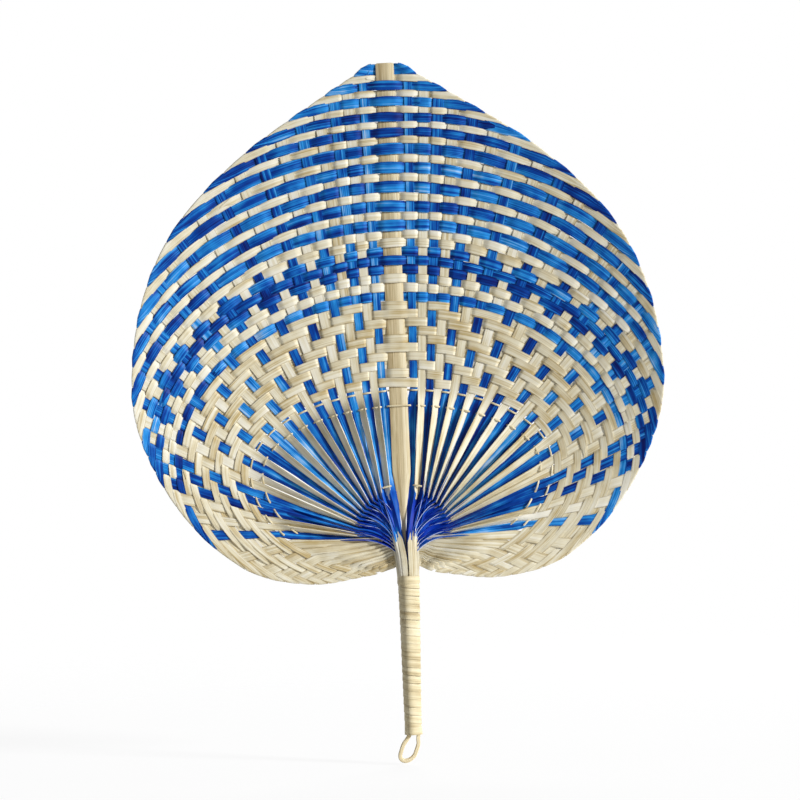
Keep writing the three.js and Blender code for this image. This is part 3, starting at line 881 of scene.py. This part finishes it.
MIX_A, MIX_B, MIXED = 6, 7, 2  # sockets of a Mix node that mixes colours
PALE_EDGE_HIGHLIGHT = "#c6d6fa"  # painted highlight on a dyed strip's cut edges at the hub
ROUGH_AND_SHADED_EDGE = "#9a8c78"  # painted shade that darkens a strip along its cut edges, and partly their roughness
TONES_APART = 60.0  # brings two strips with different tones to different places in a pattern


def bamboo(name, natural, dyed=None, cut_edge=False, fibre_width=0.55, roughness=(0.36, 0.56), wear_and_edge_shade=0.5):
    """Split bamboo: straight fibres along the strip, pale and dark, and a satin shine that breaks along them.

    Along its cut edges a strip is darker: painted shade between the strips, and partly the roughness that the
    split left.
    The fibres of real bamboo are about 0.2 mm wide, too fine to show here, so they are drawn coarser.
    A dyed strip took the dye in streaks along the fibres, its palest streaks a painted sheen, and its end is
    ragged. At the hub, the cut edges of the foremost tails are paler: a painted highlight.
    """
    if name in bpy.data.materials:
        return bpy.data.materials[name]
    material = bpy.data.materials.new(name)
    material.use_nodes = True
    tree = material.node_tree
    tree.nodes.clear()
    place = node(tree, "UVMap", uv_map="strip")
    tone = node(tree, "Attribute", attribute_name="tone").outputs["Fac"]
    parts = node(tree, "SeparateXYZ", {0: place.outputs["UV"]})
    spot = node(tree, "CombineXYZ", {0: parts.outputs[0], 1: parts.outputs[1], 2: tone})

    # Fibres 60 mm long; broad streaks 110 mm by 2.2 mm; blotches about 14 mm by 9 mm
    patterns = []
    for length, width, detail in ((60, fibre_width, 3.0), (110, 2.2, 2.0), (14, 9, 2.0)):
        size = (1 / length, 1 / width, TONES_APART)
        scaled = node(tree, "VectorMath", {0: spot.outputs[0], 1: size}, operation="MULTIPLY")
        noise = node(tree, "TexNoise", {"Vector": scaled.outputs[0], "Scale": 1.0, "Detail": detail})
        patterns.append(noise.outputs["Fac"])
    fibre, streak, blotch = patterns
    level = -0.385  # brings the middle of the patterns near the middle colour
    for part, weight in ((fibre, 0.5), (streak, 0.6), (blotch, 0.45), (tone, 0.22)):
        level = node(tree, "Math", {0: part, 1: weight, 2: level}, operation="MULTIPLY_ADD").outputs[0]
    dark, middle, light = natural
    stops = ((0.3, dark), (0.7, light), (0.5, middle))
    colour = node(tree, "ValToRGB", {0: level}, stops=stops).outputs[0]
    if dyed:
        deep, blue, pale, sheened, soaked = dyed
        # Painted sheen: the palest streaks of the pattern turn whitish blue
        stops = ((0.35, deep), (0.84, sheened), (0.5, blue), (0.67, pale))
        dye = node(tree, "Attribute", attribute_name="dye").outputs["Fac"]
        blues = node(tree, "ValToRGB", {0: level}, stops=stops)
        soak = node(tree, "MapRange", {"Value": dye, "From Min": 1.0, "From Max": SOAKED, "To Max": 0.65})
        deeper = {0: soak.outputs[0], MIX_A: blues.outputs[0], MIX_B: (*soaked, 1)}
        blues = node(tree, "Mix", deeper, data_type="RGBA")
        ragged = node(tree, "Math", {0: streak, 1: 1.2, 2: -0.6}, operation="MULTIPLY_ADD")
        wet = node(tree, "Math", {0: dye, 1: ragged.outputs[0]}, operation="ADD")
        share = node(tree, "MapRange", {"Value": wet.outputs[0], "From Min": 0.42, "From Max": 0.58})
        mixed = {0: share.outputs[0], MIX_A: colour, MIX_B: blues.outputs[MIXED]}
        colour = node(tree, "Mix", mixed, data_type="RGBA").outputs[MIXED]
    if cut_edge:
        # Painted highlight: the cut edges of the foremost tails at the hub are mixed towards pale blue
        edge_highlight = node(tree, "MapRange", {"Value": dye, "From Min": 1.5, "From Max": 1.7, "To Max": 0.75})
        paler = {0: edge_highlight.outputs[0], MIX_A: colour, MIX_B: (*linear(PALE_EDGE_HIGHLIGHT), 1)}
        colour = node(tree, "Mix", paler, data_type="RGBA").outputs[MIXED]
    else:
        # Painted shade: the cut edges are darkened, partly for their roughness
        rim = node(tree, "Attribute", attribute_name="rim")
        edge = node(tree, "Math", {0: rim.outputs["Fac"], 1: wear_and_edge_shade}, operation="MULTIPLY")
        darker = {0: edge.outputs[0], MIX_A: colour, MIX_B: (*linear(ROUGH_AND_SHADED_EDGE), 1)}
        colour = node(tree, "Mix", darker, data_type="RGBA", blend_type="MULTIPLY").outputs[MIXED]
    rough = {"Value": fibre, "From Min": 0.3, "From Max": 0.7, "To Min": roughness[0], "To Max": roughness[1]}
    shine = node(tree, "MapRange", rough)
    relief = node(tree, "Bump", {"Height": fibre, "Strength": 0.35, "Distance": 0.00008})
    surface = {"Base Color": colour, "Roughness": shine.outputs[0], "Normal": relief.outputs[0], "IOR": 1.5}
    surface["Specular IOR Level"] = 0.13
    shader = node(tree, "BsdfPrincipled", surface)
    node(tree, "OutputMaterial", {"Surface": shader.outputs[0]})
    return material


def strip_materials(colours):
    """The faces of a woven strip, blue where it took dye and straw elsewhere, and its cut edges."""
    natural = (colours.natural_dark, colours.natural_mid, colours.natural_light)
    dyed = (colours.dyed_deep, colours.dyed_mid, colours.dyed_light, colours.dyed_sheened, colours.dyed_soaked)
    face = bamboo("Split bamboo, dip-dyed", natural, dyed)
    edge = bamboo("Split bamboo, cut edge", natural, dyed, cut_edge=True)
    return face, edge


def slat_material(colours):
    """A thick slat, planed: fine, even fibres in a warmer straw colour, and the same satin shine."""
    return bamboo("Bamboo slat", (colours.slat_dark, colours.slat_mid, colours.slat_light), fibre_width=0.45)


def peeled_material(colours):
    """A thin strip, peeled: pale and even, a little more matt, and hardly darker along its edges."""
    natural = (colours.peeled_dark, colours.peeled_mid, colours.peeled_light)
    return bamboo("Peeled bamboo strip", natural, fibre_width=0.5, roughness=(0.42, 0.6), wear_and_edge_shade=0.15)


# ---- Operators


class FAN_OT_strips(bpy.types.Operator):
    """Weaves the strips: each leaves the hub as a spoke, folds over at the edge and comes back as a row."""

    bl_idname = "fan.strips"
    bl_label = "Woven strips"

    def execute(self, context):
        weave = Weave(context.scene.fan_sizes)
        materials = strip_materials(context.scene.fan_colours)
        chance = np.random.default_rng(SEED)
        for number in range(1, STRIPS + 1):
            self.weave_pair(context, weave, number, materials, chance)
        return {"FINISHED"}

    def weave_pair(self, context, weave, number, materials, chance):
        row = Row(weave, number)
        spoke = weave.spokes[number]
        dyed = number in DYED
        long_side = chance.choice((1, -1))
        tails = {}
        for side, least, most in ((long_side, 0.35, 0.85), (-long_side, 0.05, 0.45)):
            # The longer end lies on top, and some such ends show on the front
            shows = side == long_side and chance.random() < 0.35
            ends = [p["at"] for p in row.passes[1:] if p["front"] == shows]
            place = ends[int(len(ends) * chance.uniform(least, most))] if ends else 0.5 * row.length
            tails[side] = place + chance.uniform(0.5, 4.5)
        phase = 0.6 * number + chance.uniform(-0.2, 0.2)

        def sway(place):
            return sum(height * math.sin(place / length + times * phase) for height, length, times in SWAY)

        parts = []
        for side in (1, -1):
            on_top = 1 if side == long_side else -1
            tail = tails[side]
            lines = free_lines(weave, spoke, chance)
            lines += spoke_lines(weave, spoke, row, dyed)
            lines += fold_lines(weave, row, dyed)
            lines += row_lines(weave, row, tail, tails[-side], on_top, lambda s, k=side: sway(k * s), dyed)
            parts.append(strip_sheet(f"woven_{number:02d}", lines, side, strip_tone(number, side)))
        piece = joined(f"woven_{number:02d}", parts)
        dress(piece, *materials)
        thickened(piece, context.scene.fan_sizes.strip_thickness)
        finished(piece, [f"strip_{number:02d}"])


class FAN_OT_tails(bpy.types.Operator):
    """Gathers the tails of the strips at the hub and bundles them into the core of the handle."""

    bl_idname = "fan.tails"
    bl_label = "Gathered tails"

    def execute(self, context):
        weave = Weave(context.scene.fan_sizes)
        materials = strip_materials(context.scene.fan_colours)
        chance = np.random.default_rng(SEED + 1)
        for side, name in ((1, "tails_right"), (-1, "tails_left")):
            parts = []
            for spoke in weave.spokes[1:]:
                lines = tail_lines(weave, spoke, chance)
                parts.append(strip_sheet("tail", lines, side, strip_tone(spoke.number, side)))
            piece = joined("gathered_" + name, parts)
            dress(piece, *materials)
            thickened(piece, context.scene.fan_sizes.strip_thickness)
            core = self.core(side)
            dress(core, materials[0])
            piece = joined("gathered_" + name, [piece, core])
            finished(piece, [name])
        return {"FINISHED"}

    def core(self, side):
        """Half of the handle's core, ribbed along the tails."""
        rings = []
        for z in (-24.0, -30.0, -60.0, -90.0, HANDLE["end"]):
            radius = handle_radius(z) * 0.88 - 0.6
            ring = []
            for i, turn in enumerate(np.linspace(-math.pi / 2, math.pi / 2, 19)):
                out = radius * (1.0 if i % 2 else 0.95)
                ring.append((side * (0.15 + out * math.cos(turn)), out * math.sin(turn), z))
            rings.append(ring)
        return rolled("core", rings)


class FAN_OT_spine(bpy.types.Operator):
    """Shapes the spine: a slat with a low ridge, rounded at the top and pointed towards the handle."""

    bl_idname = "fan.spine"
    bl_label = "Spine"

    def execute(self, context):
        half = context.scene.fan_sizes.spine_width * 500
        heights = [SPINE["end"], 0.0, SPINE["point_to"], 12.0, 20.0, 27.0, SPINE["point_from"], 40.0, 60.0]
        heights += list(np.linspace(75, HEIGHT - SPINE["corner"], 20))
        heights += [HEIGHT - 0.7, HEIGHT - 0.3, HEIGHT]
        profile = np.array(
            [(-1, -0.4), (-0.94, -0.5), (0.94, -0.5), (1, -0.4), (1, 0.1), (0.95, 0.2)]
            + [(0.42, 0.62), (0.34, 0.62), (-0.3, 0.42), (-0.94, 0.1), (-1, 0.0)]
        )
        rings = []
        for z in heights:
            wide = spine_half(half, z)
            down = max(0.0, z - HEIGHT + SPINE["corner"]) / SPINE["corner"]
            wide -= 0.7 * (1 - math.sqrt(max(0.0, 1 - down * down)))
            rings.append([(x * wide, y, z) for x, y in profile])
        rings = np.array(rings)
        # Painted shade: the side left of the ridge is given a darker tone than the right one
        tones = np.interp(profile[:, 0], (-1.0, 0.28, 0.4, 1.0), (0.12, 0.2, 0.95, 0.8))
        piece = rolled("spine_slat", rings, tones, rings[..., 0])
        dress(piece, slat_material(context.scene.fan_colours))
        finished(piece, ["spine"], 20)
        return {"FINISHED"}


def handle_radius(z):
    """Radius of the wrapped handle, which tapers to its end."""
    return on_knots(((HANDLE["end"], HANDLE["end_radius"]), (HANDLE["top"], HANDLE["top_radius"])), z)


class FAN_OT_wrap(bpy.types.Operator):
    """Winds one flat strip round the handle, turn beside turn, over the bundle's soft corners."""

    bl_idname = "fan.wrap"
    bl_label = "Handle wrap"

    def execute(self, context):
        sizes = context.scene.fan_sizes
        chance = np.random.default_rng(SEED + 2)
        steps = 36  # cross lines to a turn
        top = HANDLE["top"] - 1.2
        pitch = (top - HANDLE["end"]) / sizes.wrap_turns
        slits = chance.uniform(0.02, 0.12, 3 * sizes.wrap_turns + 3)  # three places round each turn
        slits[chance.choice(np.arange(3, len(slits) - 6), 9, replace=False)] += 0.55
        lines = []
        for i in range((sizes.wrap_turns + 1) * steps + 1):
            turn = 2 * math.pi * i / steps + math.pi
            place = min(max(i / steps - 1, 0), sizes.wrap_turns - 1)
            z = top - pitch / 2 - pitch * place
            corner = 0.965 + 0.055 * math.cos(4 * (turn + math.radians(22)))  # the bundle is squarish
            slit = np.interp(3 * place, np.arange(len(slits)), slits)
            # At each end of the wrap a level turn lies over the one beside it
            over = abs(i / steps - (sizes.wrap_turns + 1) / 2) - (sizes.wrap_turns - 1) / 2
            radius = (handle_radius(z) - 0.4) * corner + 0.3 * eased(over + 0.4)
            out = np.array([math.sin(turn), math.cos(turn), 0.0])
            middle = out * radius + (0, 0, z)
            across = unit(np.array([0, 0, 1.0]) - out * 0.05)
            half = (pitch - slit) / 2
            lines.append(Line(middle, across, half, half, out * 1.6, 0.0))
        piece = strip_sheet("wound_wrap", lines, 1, 0.55)
        material = peeled_material(context.scene.fan_colours)
        dress(piece, material, material)
        thickened(piece, sizes.wrap_thickness)
        finished(piece, ["handle_wrap"])
        return {"FINISHED"}


class FAN_OT_loop(bpy.types.Operator):
    """Bends a thick strip into the loop below the handle."""

    bl_idname = "fan.loop"
    bl_label = "Hanging loop"

    def execute(self, context):
        band = context.scene.fan_sizes.loop_band * 1000
        eye, length, half_depth = 6.4, 14.1, 1.8
        half = (eye + band) / 2
        slope = math.tan(math.radians(20))
        bend = half - length
        flat = [(2.5, 1.6), (2.7, 0.0), (3.3, -2.2), (half, -5.0)]
        flat += [(half * math.cos(a), bend - half * math.sin(a)) for a in np.linspace(0, math.pi, 17)]
        flat += [(-half, -5.0), (-3.3, -2.2), (-2.7, 0.0), (-2.5, 1.6)]
        profile = ((-1, -0.8), (-0.6, -1), (0.6, -1), (1, -0.8), (1, 0.8), (0.6, 1), (-0.6, 1), (-1, 0.8))
        top = HANDLE["end"] - 0.3 - band / 4
        path = smooth_line(np.array([(x + slope * z, z + top) for x, z in flat]), 66)
        rings = []
        for i, point in enumerate(path):
            way = unit(path[min(i + 1, len(path) - 1)] - path[max(i - 1, 0)])
            across = np.array([way[1], -way[0]])
            ring = []
            for x, y in profile:
                ring.append(in_space(point + across * x * band / 2, y * half_depth))
            rings.append(ring)
        piece = rolled("bent_loop", rings, 0.75)
        dress(piece, slat_material(context.scene.fan_colours))
        finished(piece, ["hanging_loop"], 30)
        return {"FINISHED"}


class FAN_OT_strands(bpy.types.Operator):
    """Twines the thin binding strands through the spokes, and lays the short one at the throat."""

    bl_idname = "fan.strands"
    bl_label = "Binding strands"

    def execute(self, context):
        weave = Weave(context.scene.fan_sizes)
        for index, name in enumerate(("binding_outer", "binding_inner")):
            self.strand(context, "twined_" + name, name, self.path(weave, index))
        z = STRAND["throat"]
        path = [(5.6, -0.95, z), (6.4, 1.2, z + 0.2), (7.0, 1.9, z + 0.3), (9.0, 2.1, z), (11.2, 1.9, z - 0.6)]
        mirrored = [(-x, depth, height) for x, depth, height in path[::-1]]
        self.strand(context, "twined_binding_throat", "binding_throat", mirrored + path)
        return {"FINISHED"}

    def path(self, weave, index):
        """Along a row line through the free spokes, in front of every second one."""
        row = STRAND_ROWS[index]
        spine_level = STRAND["spine_level"] * (1 if index == 1 else -1)
        path = [(weave.spine_width / 2 + 0.3, spine_level, row_height(row))]
        for spoke in weave.spokes[1 : STRAND_LAST + 1]:
            point = last_inside(row, spoke.gather, spoke.start)
            angle = row_angle(row, point)
            tangent = unit(row_points(row, angle + 0.001) - row_points(row, angle - 0.001))
            level = STRAND_RISE[index] * (1 if (spoke.number + index) % 2 == 1 else -1)
            for share in (-0.3, 0.3):
                place = point + tangent * share * spoke.start_width
                path.append((place[0], level, place[1]))
        return [(-x, depth, z) for x, depth, z in path[::-1]] + path

    def strand(self, context, name, node_name, path):
        path = np.array(path)
        points = smooth_line(path, 3 * (len(path) - 1))
        rings = []
        for i, point in enumerate(points):
            way = unit(points[min(i + 1, len(points) - 1)] - points[max(i - 1, 0)])
            across = unit(np.cross(way, FRONT))
            face = np.cross(across, way)
            ring = []
            for turn in np.linspace(0, 2 * math.pi, 8, endpoint=False):
                wide = STRAND["half_width"] * math.cos(turn)
                deep = STRAND["half_thickness"] * math.sin(turn)
                ring.append(point + across * wide + face * deep)
            rings.append(ring)
        piece = rolled(name, rings, 0.7)
        dress(piece, peeled_material(context.scene.fan_colours))
        finished(piece, [node_name], 60)


# Name, place, size and power of each lamp, in metres and watts; all of them look at one spot of the fan
LAMPS = (
    ("Key", (4.85, -2.9, 2.12), 0.8, 440),
    ("Fill", (0.9, -1.5, 0.5), 1.4, 1.0),
    ("Back", (0.5, 1.4, 1.0), 1.4, 23),
)
LIT_SPOT = (0, 0, 0.14)
WORLD_LIGHT = 0.08
CAMERA = {"place": (0.0008, -1.5, 0.1462), "roll": 2.4, "sensor": 36, "lens": 118.1}
FLOOR = {"height": -0.0622, "size": 2, "fade_from": 0.35, "fade_to": 0.8, "white": 0.88}


class FAN_OT_stage(bpy.types.Operator):
    """Sets the floor, the lamps, the world and the camera."""

    bl_idname = "fan.stage"
    bl_label = "Stage"

    def execute(self, context):
        scene = context.scene
        scene.view_settings.view_transform = "Standard"
        self.camera(scene)
        self.floor(scene)
        for lamp in LAMPS:
            self.lamp(*lamp)
        self.world(scene)
        return {"FINISHED"}

    def camera(self, scene):
        deselect()
        turn = (math.pi / 2, math.radians(CAMERA["roll"]), 0)
        bpy.ops.object.camera_add(location=CAMERA["place"], rotation=turn)
        camera = bpy.context.object
        camera.data.sensor_width = CAMERA["sensor"]
        camera.data.lens = CAMERA["lens"]
        scene.camera = camera

    def floor(self, scene):
        deselect()
        bpy.ops.mesh.primitive_plane_add(size=FLOOR["size"], location=(0, 0, FLOOR["height"]))
        floor = bpy.context.object
        floor.name = "floor"
        material = bpy.data.materials.new("Paper floor")
        material.use_nodes = True
        tree = material.node_tree
        tree.nodes.clear()
        # Matt paper: it takes the fan's soft shadow, and fades to the white of the world some way off
        colour = (*scene.fan_colours.floor, 1)
        paper = node(tree, "BsdfPrincipled", {"Base Color": colour, "Roughness": 0.9})
        white = node(tree, "Emission", {"Color": (1, 1, 1, 1), "Strength": 1.0})
        path = node(tree, "LightPath")
        seen = node(tree, "Math", {0: path.outputs["Is Camera Ray"], 1: FLOOR["white"]}, operation="MULTIPLY")
        lit = node(tree, "MixShader", {0: seen.outputs[0], 1: paper.outputs[0], 2: white.outputs[0]})
        place = node(tree, "TexCoord")
        far = node(tree, "VectorMath", {0: place.outputs["Object"]}, operation="LENGTH")
        ends = {"From Min": FLOOR["fade_from"], "From Max": FLOOR["fade_to"]}
        fade = node(tree, "MapRange", {"Value": far.outputs["Value"], **ends})
        clear = node(tree, "BsdfTransparent")
        mixed = node(tree, "MixShader", {0: fade.outputs[0], 1: lit.outputs[0], 2: clear.outputs[0]})
        node(tree, "OutputMaterial", {"Surface": mixed.outputs[0]})
        floor.data.materials.append(material)

    def lamp(self, name, place, size, power):
        deselect()
        bpy.ops.object.light_add(type="AREA", location=place)
        lamp = bpy.context.object
        lamp.name = name
        lamp.data.size = size
        lamp.data.energy = power
        x, y, z = np.subtract(LIT_SPOT, place)
        lamp.rotation_euler = (math.atan2(math.hypot(x, y), -z), 0, math.atan2(-x, y))

    def world(self, scene):
        world = scene.world or bpy.data.worlds.new("Studio")
        scene.world = world
        world.use_nodes = True
        tree = world.node_tree
        tree.nodes.clear()
        light = node(tree, "Background", {"Color": (1, 1, 1, 1), "Strength": WORLD_LIGHT})
        white = node(tree, "Background", {"Color": (1, 1, 1, 1), "Strength": 1.0})
        path = node(tree, "LightPath")
        seen = path.outputs["Is Camera Ray"]
        for ray in ("Is Glossy Ray", "Is Transmission Ray"):
            seen = node(tree, "Math", {0: seen, 1: path.outputs[ray]}, operation="MAXIMUM").outputs[0]
        mixed = node(tree, "MixShader", {0: seen, 1: light.outputs[0], 2: white.outputs[0]})
        node(tree, "OutputWorld", {"Surface": mixed.outputs[0]})


class FAN_PT_panel(bpy.types.Panel):
    """Lists the fan's pieces, sizes and colours."""

    bl_idname = "FAN_PT_panel"
    bl_label = "Woven hand fan"
    bl_space_type = "VIEW_3D"
    bl_region_type = "UI"
    bl_category = "Fan"

    def draw(self, context):
        for operator in OPERATORS:
            self.layout.operator(operator.bl_idname)
        for group in (context.scene.fan_sizes, context.scene.fan_colours):
            box = self.layout.box()
            for name in group.__annotations__:
                box.prop(group, name)


OPERATORS = (
    FAN_OT_strips,
    FAN_OT_tails,
    FAN_OT_spine,
    FAN_OT_wrap,
    FAN_OT_loop,
    FAN_OT_strands,
    FAN_OT_stage,
)
CLASSES = (FanSizes, FanColours, *OPERATORS, FAN_PT_panel)


def register():
    for one in CLASSES:
        bpy.utils.register_class(one)
    bpy.types.Scene.fan_sizes = bpy.props.PointerProperty(type=FanSizes)
    bpy.types.Scene.fan_colours = bpy.props.PointerProperty(type=FanColours)


def unregister():
    del bpy.types.Scene.fan_colours
    del bpy.types.Scene.fan_sizes
    for one in reversed(CLASSES):
        bpy.utils.unregister_class(one)


def main():
    register()
    bpy.ops.fan.strips()
    bpy.ops.fan.tails()
    bpy.ops.fan.spine()
    bpy.ops.fan.wrap()
    bpy.ops.fan.loop()
    bpy.ops.fan.strands()
    bpy.ops.fan.stage()


if __name__ == "__main__":
    main()
